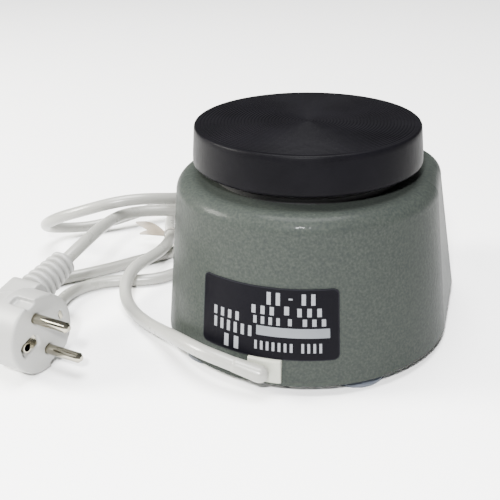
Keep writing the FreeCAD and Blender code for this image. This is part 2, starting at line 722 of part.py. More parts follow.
def plug_earth_clips():
    """The sleeve of the earth socket with its spring leaf, and the clip in the other slot."""
    sleeve = Part.makeCylinder(EARTH_HOLE_RADIUS - 0.1, 10.6, Vector(EARTH_HOLE_X, 0, -11.5))
    leaf = box(EARTH_HOLE_X + 1.5, EARTH_HOLE_X + 6.0, -2.9, 2.9, -2.1, -1.3)
    sleeve = sleeve.fuse(leaf).cut(Part.makeCylinder(1.8, 20, Vector(EARTH_HOLE_X, 0, -15)))
    clip = box(CLIP_X - 0.9, CLIP_X + 0.9, -2.1, 2.1, -8.5, -0.6)
    return [on_plug(sleeve), on_plug(clip)]


def plug_relief():
    """The ribbed, tapered sleeve where the lead leaves the plug."""
    core = Part.makeCone(6.6, 5.0, RELIEF_END - RELIEF_START, Vector(RELIEF_START, 0, -RELIEF_BACK), Vector(1, 0, 0))
    ribs = []
    for k in range(RELIEF_RIBS):
        x = RELIEF_START + 0.8 + k * RELIEF_RIB_PITCH
        ribs.append(Part.makeCylinder(8.5 - 0.33 * k, 2.6, Vector(x, 0, -RELIEF_BACK), Vector(1, 0, 0)))
    return on_plug(joined([core] + ribs))


# ---------------------------------------------------------------- the mains lead
def plug_point(along, back):
    return PLUG_FACE + PLUG_CORD * along - PLUG_OUT * back


RELIEF_TIP = plug_point(RELIEF_END, RELIEF_BACK)
GROUND = CORD_REST
OVER = CROSSING_Z
ROUTE = [
    # out of the cord block, along the wall and down to the ground
    (11.5, 73.9, 14.9), (20.5, 72.6, 16.2), (30, 69.8, 16.7), (40, 63.8, 15.6), (50, 55.6, 12.6),
    (61, 45.5, 8.2), (73, 36, 4.8),
    (86.5, 25.5, 3.8), (95.5, 16, 5.6), (100.5, 5.5, 9.4),
    # over the two stretches that come back from the plug
    (101.5, -6.5, 11.6), (99, -18.5, 11.9), (96.5, -30.5, 11.8), (97.5, -43, 11.6), (102, -56, 9.4),
    (109, -70, 5.6), (117, -85.5, 3.9),
    # first turn behind the housing
    (122, -101, GROUND), (119, -117, GROUND), (108, -129, GROUND), (93, -132.5, GROUND), (77.5, -128.5, GROUND),
    (66.5, -117, GROUND), (62.5, -102, GROUND), (66.5, -87, GROUND), (76.5, -73, GROUND), (87.5, -59, GROUND),
    (99, -45, GROUND), (111, -32, GROUND),
    # past the plug, round beside it and back under the first stretch
    (120, -20.5, GROUND), (130, -9.5, GROUND), (141, 0.8, GROUND), (151, 12, GROUND), (160.5, 24, GROUND),
    (167.5, 37.5, GROUND), (170, 51, GROUND), (167, 63.8, GROUND), (157.6, 72.4, GROUND), (145.2, 72.6, GROUND),
    (135.5, 64.6, GROUND), (130.2, 53, GROUND), (128, 41, GROUND), (127.3, 29.5, GROUND),
    (129.4, 19.5, GROUND), (126.6, 9.5, GROUND),
    (120, 0.8, GROUND), (111, -5, GROUND), (100.5, -8, GROUND), (91, -13, GROUND), (84.5, -21, GROUND),
    (81, -31, GROUND), (78.6, -43, GROUND), (74.8, -56.5, GROUND),
    # along the housing's front corner and round behind everything
    (68.5, -70, GROUND), (58.5, -82.5, GROUND), (44.5, -93.5, GROUND), (27.5, -106, GROUND),
    (12.5, -121.5, GROUND), (6, -138, GROUND), (9.5, -155, GROUND), (21, -167, GROUND), (37, -171, 3.6),
    (53.5, -167, 5.2), (68, -158, 9.4), (79, -145, 15.6), (86, -130, 21.2), (90, -113.5, 24.4),
    (92, -97, 26.4), (93, -81, 29.2), (93.5, -66, 32.6),
    # the long loop: it leaves from behind the housing in the air and reaches furthest to the side
    (94.6, -52.3, 36), (100.6, -42.5, 39), (107.8, -34.8, 40.8), (115.8, -29, 41), (124, -24.6, 39.8),
    (133.4, -22.2, 37), (144, -21.8, 33.2), (155.4, -23.6, 28.6), (166, -28, 22.6), (173.4, -34.8, 16.8),
    (176.8, -42.8, 11.8), (175.6, -50.8, 8.2), (170.4, -57.8, 6.0), (163, -64.2, 5.0), (154.6, -70.8, 5.6),
    (145.5, -78.6, 7.2),
    (135, -90.4, 9.2),
    # second turn, which lies on the first
    (124, -101.5, OVER), (111, -112, OVER), (96, -123.5, OVER), (80, -136.5, OVER), (62.5, -148, OVER),
    (46, -151.5, OVER), (30.5, -145, OVER), (20.5, -132, OVER), (18, -115.5, OVER), (24.5, -100, OVER),
    (37.5, -90.5, 11.4), (52.5, -84.8, 14), (66.5, -76, 18), (80, -64.6, 23.2),
    # up to the plug, from below the start of the long loop
    (94.2, -53.8, 27.6), (106.2, -47.2, 29), (114.6, -40.6, 30), (119.4, -31.8, 31), (120.6, -20.8, 32),
    (119.4, -8.4, 33.2), (117.6, 4.6, 34.2),
]
RELIEF_RUN = 14.0


def route_points():
    tip = RELIEF_TIP
    before = plug_point(RELIEF_END + RELIEF_RUN, RELIEF_BACK)
    return [Vector(*p) for p in ROUTE] + [before, tip]


def rounded_path(points):
    """Straight runs joined by tangent arcs. Returns (edges, radii)."""
    edges, radii = [], []
    last = points[0]
    for before, here, after in zip(points, points[1:], points[2:]):
        into = here - before
        out = after - here
        turn = into.getAngle(out)
        reach = 0.49 * min(into.Length, out.Length)
        radius = reach / math.tan(turn / 2)
        into.normalize()
        out.normalize()
        start = here - into * reach
        end = here + out * reach
        centre_way = out - into
        centre_way.normalize()
        middle = here + centre_way * (radius / math.cos(turn / 2) - radius)
        edges.append(Part.LineSegment(last, start).toShape())
        edges.append(Part.Arc(start, middle, end).toShape())
        radii.append(radius)
        last = end
    edges.append(Part.LineSegment(last, points[-1]).toShape())
    return edges, radii


def tube_along(edges, radius):
    wire = Part.Wire(edges)
    start = edges[0].Vertexes[0].Point
    way = edges[0].tangentAt(edges[0].FirstParameter)
    profile = Part.Wire(Part.makeCircle(radius, start, way))
    return wire.makePipeShell([profile], True, False), wire.Length


LEAD_PARTS = 4


def mains_lead():
    points = route_points()
    edges, radii = rounded_path(points)
    runs = len(points) - 1
    cuts = [round(runs * k / LEAD_PARTS) for k in range(LEAD_PARTS + 1)]
    total = 0.0
    for part in range(LEAD_PARTS):
        chunk = edges[2 * cuts[part]:2 * cuts[part + 1]]
        if part == LEAD_PARTS - 1:
            chunk = edges[2 * cuts[part]:]
        solid, length = tube_along(chunk, CORD_RADIUS)
        total += length
        expected = math.pi * CORD_RADIUS ** 2 * length
        print("lead part", part + 1, "length", round(length, 1), "volume ratio", round(solid.Volume / expected, 4),
              "valid", solid.isValid())
        save("mains_lead_" + str(part + 1), solid)
    print("lead length", round(total, 1), "smallest radii", [round(r, 1) for r in sorted(radii)[:12]])
    for k, radius in enumerate(radii):
        if radius < 5 * 2 * CORD_RADIUS:
            print("  radius", round(radius, 1), "at", tuple(round(c, 1) for c in points[k + 1]))


TIE_AT = Vector(105.5, -63.0, 7.5)
TIE_WAY = Vector(7, -14, -3.8)


def cord_tie():
    """A soft wire tie round the lead, with its two twisted ends sticking out."""
    way = Vector(TIE_WAY)
    way.normalize()
    side = Vector(0, 0, 1).cross(way)
    side.normalize()
    tie = Part.makeCylinder(CORD_RADIUS + 1.4, 6.0, TIE_AT - way * 3.0, way)
    for lift, spread in ((0.02, 0.35), (0.28, -0.35)):
        tail_way = side + Vector(0, 0, lift) + way * spread
        tie = tie.fuse(Part.makeCone(1.6, 0.9, 20.0, TIE_AT, tail_way))
    return tie.cut(Part.makeCylinder(CORD_RADIUS + 0.3, 12.0, TIE_AT - way * 6.0, way))


# ---------------------------------------------------------------- build everything
def build():
    save("housing", housing())
    save("base_plate", base_plate())
    save("control_panel", control_panel())
    save_group("panel_screws", panel_screws())
    save("intensity_knob", intensity_knob())
    save("control_shaft", control_shaft())
    save("potentiometer", potentiometer())
    save("control_nut", control_nut())
    save("switch_body", switch_body())
    save("switch_rocker", switch_rocker())
    save_group("switch_terminals", switch_terminals())
    for name, (x, y) in FEET:
        save("foot_" + name, foot(x, y))
    save_group("foot_screws", foot_screws())
    save_group("foot_nuts", foot_nuts())
    save_group("base_screws", base_screws())
    save("magnet_core", magnet_core())
    save("coil_bobbin", bobbin())
    save("coil_winding", coil_winding())
    save("magnet_bracket", magnet_bracket())
    save_group("bracket_bolts", bracket_bolts())
    save("armature", armature())
    save("armature_spacer", armature_spacer())
    save("carrier_plate", carrier_plate())
    save("stem", stem())
    save("platform_plate", platform_plate())
    save("platform_screw", platform_screw())
    save("platform_pad", platform_pad())
    save_group("rubber_buffers", buffers())
    save_group("buffer_posts", buffer_posts())
    save("dust_seal", dust_seal())
    save("rating_label", rating_label())
    save("control_board", control_board())
    save_group("board_standoffs", board_standoffs())
    save_group("board_screws", board_screws())
    save("heat_sink", triac_and_heatsink())
    save("triac", triac())
    save("capacitor", board_capacitor())
    save("fuse", board_fuse())
    save("terminal_block", terminal_block())
    save_group("terminal_screws", terminal_screws())
    save("cord_clamp", cord_clamp())
    save_group("clamp_screws", clamp_screws())
    save("inner_lead", inner_lead())
    save("earth_stud", earth_stud())
    save("cord_gland", gland_flange())
    save("cord_boot", cord_boot())
    save("plug_body", plug_body())
    save_group("plug_pins", plug_pins())
    save_group("plug_earth_clips", plug_earth_clips())
    save("plug_relief", plug_relief())
    save("cord_tie", cord_tie())
    mains_lead()
    for name, shape in sorted(NODES.items()):
        if not shape.isValid() or not shape.Solids:
            print("NOT VALID", name, len(shape.Solids))
        elif name in SINGLE and len(shape.Solids) != 1:
            print("SEVERAL SOLIDS", name, len(shape.Solids))
    print(len(NODES), "nodes")


SINGLE = {"housing", "base_plate", "platform_pad", "cord_gland", "plug_body", "plug_relief", "intensity_knob"}

build()
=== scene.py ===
import math

import bpy
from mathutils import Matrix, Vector


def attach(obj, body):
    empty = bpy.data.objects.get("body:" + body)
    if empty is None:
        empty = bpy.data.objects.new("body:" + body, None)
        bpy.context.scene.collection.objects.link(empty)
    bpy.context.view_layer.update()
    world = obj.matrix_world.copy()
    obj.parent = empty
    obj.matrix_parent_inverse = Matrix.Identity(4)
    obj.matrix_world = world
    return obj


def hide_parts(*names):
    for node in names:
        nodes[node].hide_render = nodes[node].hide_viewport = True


# A small bench vibrator with a round rubber platform, seen from its back. Metres, row frame.
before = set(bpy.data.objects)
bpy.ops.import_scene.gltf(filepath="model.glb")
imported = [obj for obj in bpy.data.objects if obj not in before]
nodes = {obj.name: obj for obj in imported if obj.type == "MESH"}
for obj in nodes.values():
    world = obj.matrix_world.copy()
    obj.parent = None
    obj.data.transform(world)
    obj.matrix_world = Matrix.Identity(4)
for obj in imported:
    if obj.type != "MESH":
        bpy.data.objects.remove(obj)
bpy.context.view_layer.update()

# ---------------------------------------------------------------- driving dimensions
CORD_RADIUS = 0.00325
BACK_RADIUS = 0.070            # plan radius of the housing's round back at its foot
WALL_FOOT_Z = 0.005
WALL_LEAN = 0.0075 / 0.068     # how fast that radius shrinks with height
LABEL_HALF_ARC = math.radians(27.5)
LABEL_LOW_Z = 0.0178
LABEL_HIGH_Z = 0.0506
LABEL_FACE = 0.00055           # the printed face stands this far out of the wall
INK = 0.00006                  # each printed layer stands this far above the one below
PANEL_FACE = 0.00125           # the control panel's face stands this far out of the sloping wall
KNOB_FACE = 0.01568            # and the paint in the knob's groove, this far
KNOB_X = -0.019


# ---------------------------------------------------------------- materials
class Surface:
    """A Principled material, and the few patterns that the pieces share."""

    def __init__(self, name, color, roughness, **inputs):
        self.material = bpy.data.materials.new(name)
        self.material.use_nodes = True
        self.tree = self.material.node_tree
        self.shader = self.tree.nodes["Principled BSDF"]
        self.shader.inputs["Base Color"].default_value = (*color, 1.0)
        self.shader.inputs["Roughness"].default_value = roughness
        for key, value in inputs.items():
            self.shader.inputs[key.replace("_", " ")].default_value = value
        self.place = self.tree.nodes.new("ShaderNodeTexCoord").outputs["Object"]
        self.normal = None

    def link(self, source, target):
        self.tree.links.new(source, target)

    def noise(self, scale, detail=3.0, stretch=None):
        node = self.tree.nodes.new("ShaderNodeTexNoise")
        node.inputs["Scale"].default_value = scale
        node.inputs["Detail"].default_value = detail
        where = self.place
        if stretch is not None:
            mapping = self.tree.nodes.new("ShaderNodeMapping")
            mapping.inputs["Scale"].default_value = stretch
            self.link(where, mapping.inputs["Vector"])
            where = mapping.outputs["Vector"]
        self.link(where, node.inputs["Vector"])
        return node.outputs["Fac"]

    def cells(self, scale, smoothness):
        node = self.tree.nodes.new("ShaderNodeTexVoronoi")
        node.feature = "SMOOTH_F1"
        node.inputs["Scale"].default_value = scale
        node.inputs["Smoothness"].default_value = smoothness
        self.link(self.place, node.inputs["Vector"])
        return node.outputs["Distance"]

    def spread(self, source, low, high, start=0.0, end=1.0):
        node = self.tree.nodes.new("ShaderNodeMapRange")
        node.inputs["From Min"].default_value = start
        node.inputs["From Max"].default_value = end
        node.inputs["To Min"].default_value = low
        node.inputs["To Max"].default_value = high
        self.link(source, node.inputs["Value"])
        return node.outputs["Result"]

    def colors(self, source, *stops):
        node = self.tree.nodes.new("ShaderNodeValToRGB")
        band = node.color_ramp
        while len(band.elements) < len(stops):
            band.elements.new(0.5)
        for element, (position, color) in zip(band.elements, stops):
            element.position = position
            element.color = (*color, 1.0)
        self.link(source, node.inputs["Fac"])
        self.link(node.outputs["Color"], self.shader.inputs["Base Color"])

    def uneven_gloss(self, source, low, high):
        self.link(self.spread(source, low, high), self.shader.inputs["Roughness"])

    def bump(self, source, strength, distance):
        node = self.tree.nodes.new("ShaderNodeBump")
        node.inputs["Strength"].default_value = strength
        node.inputs["Distance"].default_value = distance
        self.link(source, node.inputs["Height"])
        if self.normal is not None:
            self.link(self.normal, node.inputs["Normal"])
        self.normal = node.outputs["Normal"]
        self.link(self.normal, self.shader.inputs["Normal"])


def hammertone_paint():
    """Grey-green hammer-finish enamel: a soft mottle of small pools with a slight sheen."""
    paint = Surface(
        "hammertone", (0.023, 0.026, 0.024), 0.45,
        Specular_IOR_Level=0.03, Coat_Weight=0.042, Coat_Roughness=0.14)
    mottle = paint.noise(900.0, detail=3.0)
    paint.colors(
        mottle,
        (0.32, (0.019, 0.022, 0.021)),
        (0.50, (0.023, 0.027, 0.024)),
        (0.68, (0.029, 0.033, 0.029)))
    paint.uneven_gloss(paint.noise(300.0), 0.40, 0.52)
    paint.bump(paint.cells(520.0, 0.9), 0.35, 0.0002)
    paint.bump(mottle, 0.25, 0.0001)
    paint.link(paint.normal, paint.shader.inputs["Coat Normal"])
    return paint.material


def turned_rubber():
    """Black rubber with a satin face, a little uneven in colour and gloss."""
    rubber = Surface("platform_rubber", (0.0026, 0.0025, 0.0032), 0.45, Specular_IOR_Level=0.035)
    rubber.colors(
        rubber.noise(45.0, detail=5.0),
        (0.3, (0.0018, 0.0017, 0.0023)),
        (0.75, (0.0033, 0.0031, 0.0041)))
    rubber.uneven_gloss(rubber.noise(700.0, stretch=(1.0, 1.0, 0.25)), 0.34, 0.52)
    rubber.bump(rubber.noise(1500.0, detail=2.0), 0.18, 0.00008)
    return rubber.material


def plain(name, color, roughness, bump=0.12, scale=900.0, grain=0.06, **inputs):
    """Moulded or machined stock: a faint uneven colour, gloss and surface."""
    stock = Surface(name, color, roughness, **inputs)
    dark = tuple(c * (1.0 - grain) for c in color)
    light = tuple(min(1.0, c * (1.0 + grain)) for c in color)
    stock.colors(stock.noise(scale * 0.12), (0.3, dark), (0.7, light))
    stock.uneven_gloss(stock.noise(scale * 0.4), roughness * 0.85, min(1.0, roughness * 1.2))
    stock.bump(stock.noise(scale), bump, 0.00006)
    return stock.material


def brushed(name, color, roughness, **inputs):
    """Drawn or turned metal, with fine lines along Z."""
    metal = Surface(name, color, roughness, Metallic=1.0, **inputs)
    metal.uneven_gloss(metal.noise(900.0, stretch=(1.0, 1.0, 0.05)), roughness * 0.7, roughness * 1.35)
    metal.bump(metal.noise(1400.0, stretch=(1.0, 1.0, 0.04)), 0.1, 0.00003)
    return metal.material


def layered(name, color, roughness, across, scale):
    """A stack of sheets or a winding: fine even lines that repeat along the axis named across."""
    stack = Surface(name, color, roughness, Metallic=1.0)
    wave = stack.tree.nodes.new("ShaderNodeTexWave")
    wave.bands_direction = across
    wave.inputs["Scale"].default_value = scale
    stack.link(stack.place, wave.inputs["Vector"])
    stack.bump(wave.outputs["Fac"], 0.5, 0.0002)
    return stack.material


PAINT = hammertone_paint()
RUBBER = turned_rubber()
SOFT_RUBBER = plain("soft_rubber", (0.02, 0.02, 0.021), 0.6)
FOOT_RUBBER = plain("foot_rubber", (0.075, 0.085, 0.105), 0.3, Specular_IOR_Level=0.3)
ZINC = brushed("zinc_plate", (0.68, 0.68, 0.67), 0.34)
STEEL = brushed("steel", (0.56, 0.56, 0.57), 0.3)
ALUMINIUM = brushed("aluminium", (0.78, 0.79, 0.8), 0.32)
NICKEL = brushed("nickel", (0.34, 0.32, 0.26), 0.14)
BRASS = brushed("brass", (0.72, 0.55, 0.26), 0.28)
LAMINATION = layered("lamination", (0.26, 0.26, 0.28), 0.45, "Y", 600.0)
COPPER = layered("copper_wire", (0.70, 0.31, 0.14), 0.3, "Z", 1400.0)
NYLON = plain("nylon", (0.80, 0.79, 0.74), 0.45)
BOARD = plain("circuit_board", (0.03, 0.16, 0.06), 0.38)
BLACK_CASE = plain("component_case", (0.02, 0.02, 0.02), 0.42)
PANEL = plain("panel_black", (0.022, 0.022, 0.024), 0.44, bump=0.3, scale=1400.0)
KNOB = plain("knob_black", (0.018, 0.018, 0.018), 0.4, bump=0.2)
ROCKER = plain("rocker_black", (0.015, 0.015, 0.015), 0.16)
LEAD = plain("lead_pvc", (0.225, 0.225, 0.207), 0.28, bump=0.05, scale=300.0, grain=0.025)
PLUG = plain("plug_pvc", (0.245, 0.245, 0.236), 0.4, bump=0.1, scale=1200.0, grain=0.015)
BLOCK = plain("cord_block", (0.29, 0.30, 0.255), 0.42, grain=0.03)
TIE = plain("wire_tie", (0.23, 0.195, 0.15), 0.25, grain=0.12)
TIE_BAND = plain("wire_tie_band", (0.26, 0.25, 0.225), 0.14, grain=0.1)
LABEL_EDGE = plain("label_edge", (0.006, 0.006, 0.008), 0.4, Specular_IOR_Level=0.05)
LABEL_BLACK = plain(
    "label_black", (0.0024, 0.0023, 0.0034), 0.35, bump=0.1, scale=1600.0, Specular_IOR_Level=0.03)
LABEL_GREY = plain("label_grey", (0.105, 0.112, 0.124), 0.45, Specular_IOR_Level=0.2)
LABEL_WHITE = plain("label_white", (0.15, 0.154, 0.167), 0.5, Specular_IOR_Level=0.2)
FINISH = {
    "housing": PAINT, "base_plate": ZINC, "control_panel": PANEL, "panel_screws": ZINC,
    "intensity_knob": KNOB, "control_shaft": ALUMINIUM, "potentiometer": ZINC, "control_nut": ZINC,
    "switch_body": BLACK_CASE, "switch_rocker": ROCKER, "switch_terminals": BRASS,
    "foot_rear_left": FOOT_RUBBER, "foot_rear_right": FOOT_RUBBER,
    "foot_front_left": FOOT_RUBBER, "foot_front_right": FOOT_RUBBER,
    "foot_screws": ZINC, "foot_nuts": ZINC, "base_screws": ZINC,
    "magnet_core": LAMINATION, "coil_bobbin": NYLON, "coil_winding": COPPER,
    "magnet_bracket": ZINC, "bracket_bolts": ZINC, "armature": LAMINATION,
    "armature_spacer": STEEL, "carrier_plate": STEEL, "stem": STEEL, "platform_plate": STEEL,
    "platform_screw": ZINC, "rubber_buffers": SOFT_RUBBER, "buffer_posts": ALUMINIUM,
    "dust_seal": SOFT_RUBBER, "rating_label": LABEL_EDGE, "control_board": BOARD,
    "board_standoffs": NYLON, "board_screws": ZINC, "heat_sink": ALUMINIUM, "triac": BLACK_CASE,
    "capacitor": BLACK_CASE, "fuse": BLACK_CASE, "terminal_block": NYLON, "terminal_screws": BRASS,
    "cord_clamp": NYLON, "clamp_screws": ZINC, "inner_lead": LEAD, "earth_stud": BRASS,
    "cord_gland": BLOCK, "cord_boot": LEAD, "plug_body": PLUG, "plug_pins": NICKEL,
    "plug_earth_clips": NICKEL,
}
for node_name, finish in FINISH.items():
    node = nodes[node_name]
    if not node.material_slots:
        node.data.materials.append(finish)
    for material_slot in node.material_slots:
        material_slot.material = finish


# ---------------------------------------------------------------- mesh helpers
def mesh_piece(name, points, faces, material, body, smooth_below=35.0):
    mesh = bpy.data.meshes.new(name)
    mesh.from_pydata([tuple(p) for p in points], [], faces)
    mesh.materials.append(material)
    mesh.shade_smooth()
    mesh.set_sharp_from_angle(angle=math.radians(smooth_below))
    piece = bpy.data.objects.new(name, mesh)
    bpy.context.scene.collection.objects.link(piece)
    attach(piece, body)
    return piece


def turned_shape(profile, segments, origin=Vector((0, 0, 0)), along=Vector((0, 0, 1))):
    """Points and faces of a (radius, distance) profile turned about an axis."""
    along = along.normalized()
    side = along.orthogonal().normalized()
    other = along.cross(side)
    points = []
    for radius, distance in profile:
        for k in range(segments):
            turn = 2.0 * math.pi * k / segments
            out = side * math.cos(turn) + other * math.sin(turn)
            points.append(origin + along * distance + out * radius)
    faces = []
    for row in range(len(profile) - 1):
        for k in range(segments):
            after = (k + 1) % segments
            low, high = row * segments, (row + 1) * segments
            faces.append((low + k, low + after, high + after, high + k))
    return points, faces


def back_wall(across, z, lift):
    """A point on the housing's round back: across is an angle from its middle, lift is out of the wall."""
    radius = BACK_RADIUS - (z - WALL_FOOT_Z) * WALL_LEAN + lift
    return Vector((radius * math.sin(across), radius * math.cos(across), z))


def wall_patch(name, left, right, low, high, corner, lift, material):
    """A printed shape on the back wall with rounded corners. left and right are lengths along the wall."""
    columns = 40
    points = []
    for k in range(columns + 1):
        across = left + (right - left) * (0.5 - 0.5 * math.cos(math.pi * k / columns))
        near_end = min(abs(across - left), abs(right - across))
        inside = max(0.0, corner - near_end)
        cut = corner - math.sqrt(max(0.0, corner ** 2 - inside ** 2))
        angle = across / BACK_RADIUS
        points.append(back_wall(angle, low + cut, lift))
        points.append(back_wall(angle, high - cut, lift))
    faces = [(2 * k, 2 * k + 2, 2 * k + 3, 2 * k + 1) for k in range(columns)]
    return mesh_piece(name, points, faces, material, "base")


# ---------------------------------------------------------------- platform
def platform_pad():
    """A rubber disc with fine turned grooves in its top, a rounded rim and a skirt round the plate."""
    top = 0.1048
    pitch = 0.00155
    depth = 0.00022
    profile = [(0.0002, top - depth)]
    radius = 0.0012
    while radius < 0.0508:
        profile += [
            (radius, top - depth),
            (radius + pitch * 0.25, top - depth * 0.1),
            (radius + pitch * 0.62, top),
            (radius + pitch * 0.92, top - depth * 0.5),
        ]
        radius += pitch
    profile += [
        (0.0514, top), (0.0519, top - 0.0001), (0.0523, top - 0.0004), (0.05258, top - 0.0009),
        (0.0528, top - 0.0030), (0.0537, top - 0.0130), (0.05385, top - 0.0160),
        (0.0538, top - 0.0169), (0.0534, top - 0.0173), (0.0526, top - 0.0174),
        (0.0460, top - 0.0174), (0.0456, top - 0.0170), (0.0456, top - 0.0159),
    ]
    points, faces = turned_shape(profile, 240)
    faces.append(tuple(range(239, -1, -1)))
    pad = mesh_piece("platform_rubber_pad", points, faces, RUBBER, "platform", smooth_below=50.0)
    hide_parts("platform_pad")


platform_pad()


# ---------------------------------------------------------------- rating label
def rating_label():
    """Printed face of the label: a blank serial field and small blocks where lettering goes."""
    left = BACK_RADIUS * LABEL_HALF_ARC
    inset = 0.00045
    face = wall_patch(
        "label_face", left - inset, -left + inset, LABEL_LOW_Z + inset, LABEL_HIGH_Z - inset, 0.0022,
        LABEL_FACE, LABEL_BLACK)
    width = 2.0 * left
    height = LABEL_HIGH_Z - LABEL_LOW_Z
    # each row of blocks: start and end across from the left, top and bottom from the top, how many
    rows = [
        (0.493, 0.620, 0.058, 0.232, 2),
        (0.644, 0.704, 0.124, 0.146, 1),
        (0.731, 0.857, 0.059, 0.212, 2),
        (0.386, 0.580, 0.260, 0.376, 3),
        (0.611, 0.685, 0.238, 0.356, 1),
        (0.701, 0.900, 0.258, 0.374, 3),
        (0.086, 0.326, 0.413, 0.534, 4),
        (0.403, 0.618, 0.408, 0.514, 4),
        (0.642, 0.699, 0.408, 0.506, 1),
        (0.738, 0.927, 0.408, 0.508, 3),
        (0.091, 0.421, 0.569, 0.719, 6),
        (0.175, 0.331, 0.770, 0.950, 2),
        (0.417, 0.700, 0.759, 0.884, 7),
        (0.736, 0.893, 0.753, 0.888, 4),
    ]
    block_start, block_end = 0.28, 0.72         # shares of the pitch
    points = []
    faces = []
    for start, end, upper, lower, count in rows:
        pitch = (end - start) / count
        for k in range(count):
            left_edge = left - (start + pitch * (k + block_start)) * width
            right_edge = left - (start + pitch * (k + block_end)) * width
            first = len(points)
            corners = (
                (left_edge, lower), (right_edge, lower), (right_edge, upper), (left_edge, upper))
            for across, down in corners:
                z = LABEL_HIGH_Z - down * height
                points.append(back_wall(across / BACK_RADIUS, z, LABEL_FACE + INK))
            faces.append((first, first + 1, first + 2, first + 3))
    print_marks = mesh_piece("label_blocks", points, faces, LABEL_WHITE, "base")
    field_start, field_end, field_top, field_foot = 0.440, 0.936, 0.541, 0.676
    field = wall_patch(
        "label_field", left - field_start * width, left - field_end * width,
        LABEL_HIGH_Z - field_foot * height, LABEL_HIGH_Z - field_top * height,
        0.0002, LABEL_FACE + INK, LABEL_GREY)


rating_label()


# ---------------------------------------------------------------- plug
# The plug's own directions: its pins point along OUT, and its lead leaves along AWAY.
PLUG_FACE = Vector((0.1025, 0.0796, 0.0189))
PLUG_OUT = Vector((-0.98294, 0.18395, 0.0))
PLUG_AWAY = Vector((-0.17768, -0.94944, 0.25882))
RELIEF_BACK = 0.025


def plug_point(away, back, across=0.0):
    return PLUG_FACE + PLUG_AWAY * away - PLUG_OUT * back + PLUG_OUT.cross(PLUG_AWAY) * across


def softened(node_name, voxel, rounds):
    """The moulded piece has blended corners: the CAD shape is remeshed and relaxed a little."""
    piece = nodes[node_name]
    remesh = piece.modifiers.new("blend", "REMESH")
    remesh.mode = "VOXEL"
    remesh.voxel_size = voxel
    remesh.use_smooth_shade = True
    relax = piece.modifiers.new("relax", "SMOOTH")
    relax.factor = 0.5
    relax.iterations = rounds


softened("plug_body", 0.00055, 9)
softened("cord_gland", 0.0004, 6)


def cord_boot():
    """The moulded end of the lead: a round heel on the block, and a taper that runs out on the lead."""
    heel = Vector((0.0008, 0.0736, 0.0121))
    axis = Vector((0.0107, 0.0003, 0.0028))
    wide = 0.0039
    profile = []
    for k in range(9):
        turn = math.radians(88.0 - 11.0 * k)
        profile.append((wide * math.cos(turn), -wide * math.sin(turn)))
    reach = axis.length + 0.0012
    for k in range(1, 9):
        t = k / 8
        profile.append((wide + (CORD_RADIUS + 0.00006 - wide) * t, reach * t))
    profile.append((CORD_RADIUS - 0.0002, reach + 0.0002))
    points, faces = turned_shape(profile, 48, heel, axis)
    faces.append(tuple(range(48)))
    boot = mesh_piece("lead_boot", points, faces, LEAD, "base", smooth_below=60.0)
    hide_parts("cord_boot")


cord_boot()


def strain_relief():
    """A tapered sleeve with a row of ribs that get smaller toward the lead."""
    start = 0.0228
    end = 0.0475
    pitch = 0.0040
    ribs = 6
    first_crown = 0.0085
    crown_step = 0.00034
    rib_depth = 0.0021
    profile = [(CORD_RADIUS + 0.0001, start), (0.0066, start)]
    for k in range(ribs):
        at = start + 0.0004 + k * pitch
        crown = first_crown - crown_step * k
        root = crown - rib_depth
        profile += [
            (root, at), (crown - 0.0005, at + 0.0003), (crown - 0.0001, at + 0.0007), (crown, at + 0.0014),
            (crown - 0.0001, at + 0.0021), (crown - 0.0005, at + 0.0025), (root, at + 0.0028),
        ]
    profile += [(0.0046, end - 0.0007), (0.0043, end), (CORD_RADIUS + 0.0001, end)]
    points, faces = turned_shape(profile, 72, plug_point(0.0, RELIEF_BACK), PLUG_AWAY)
    sleeve = mesh_piece("plug_strain_relief", points, faces, PLUG, "base", smooth_below=60.0)
    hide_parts("plug_relief")
    return sleeve


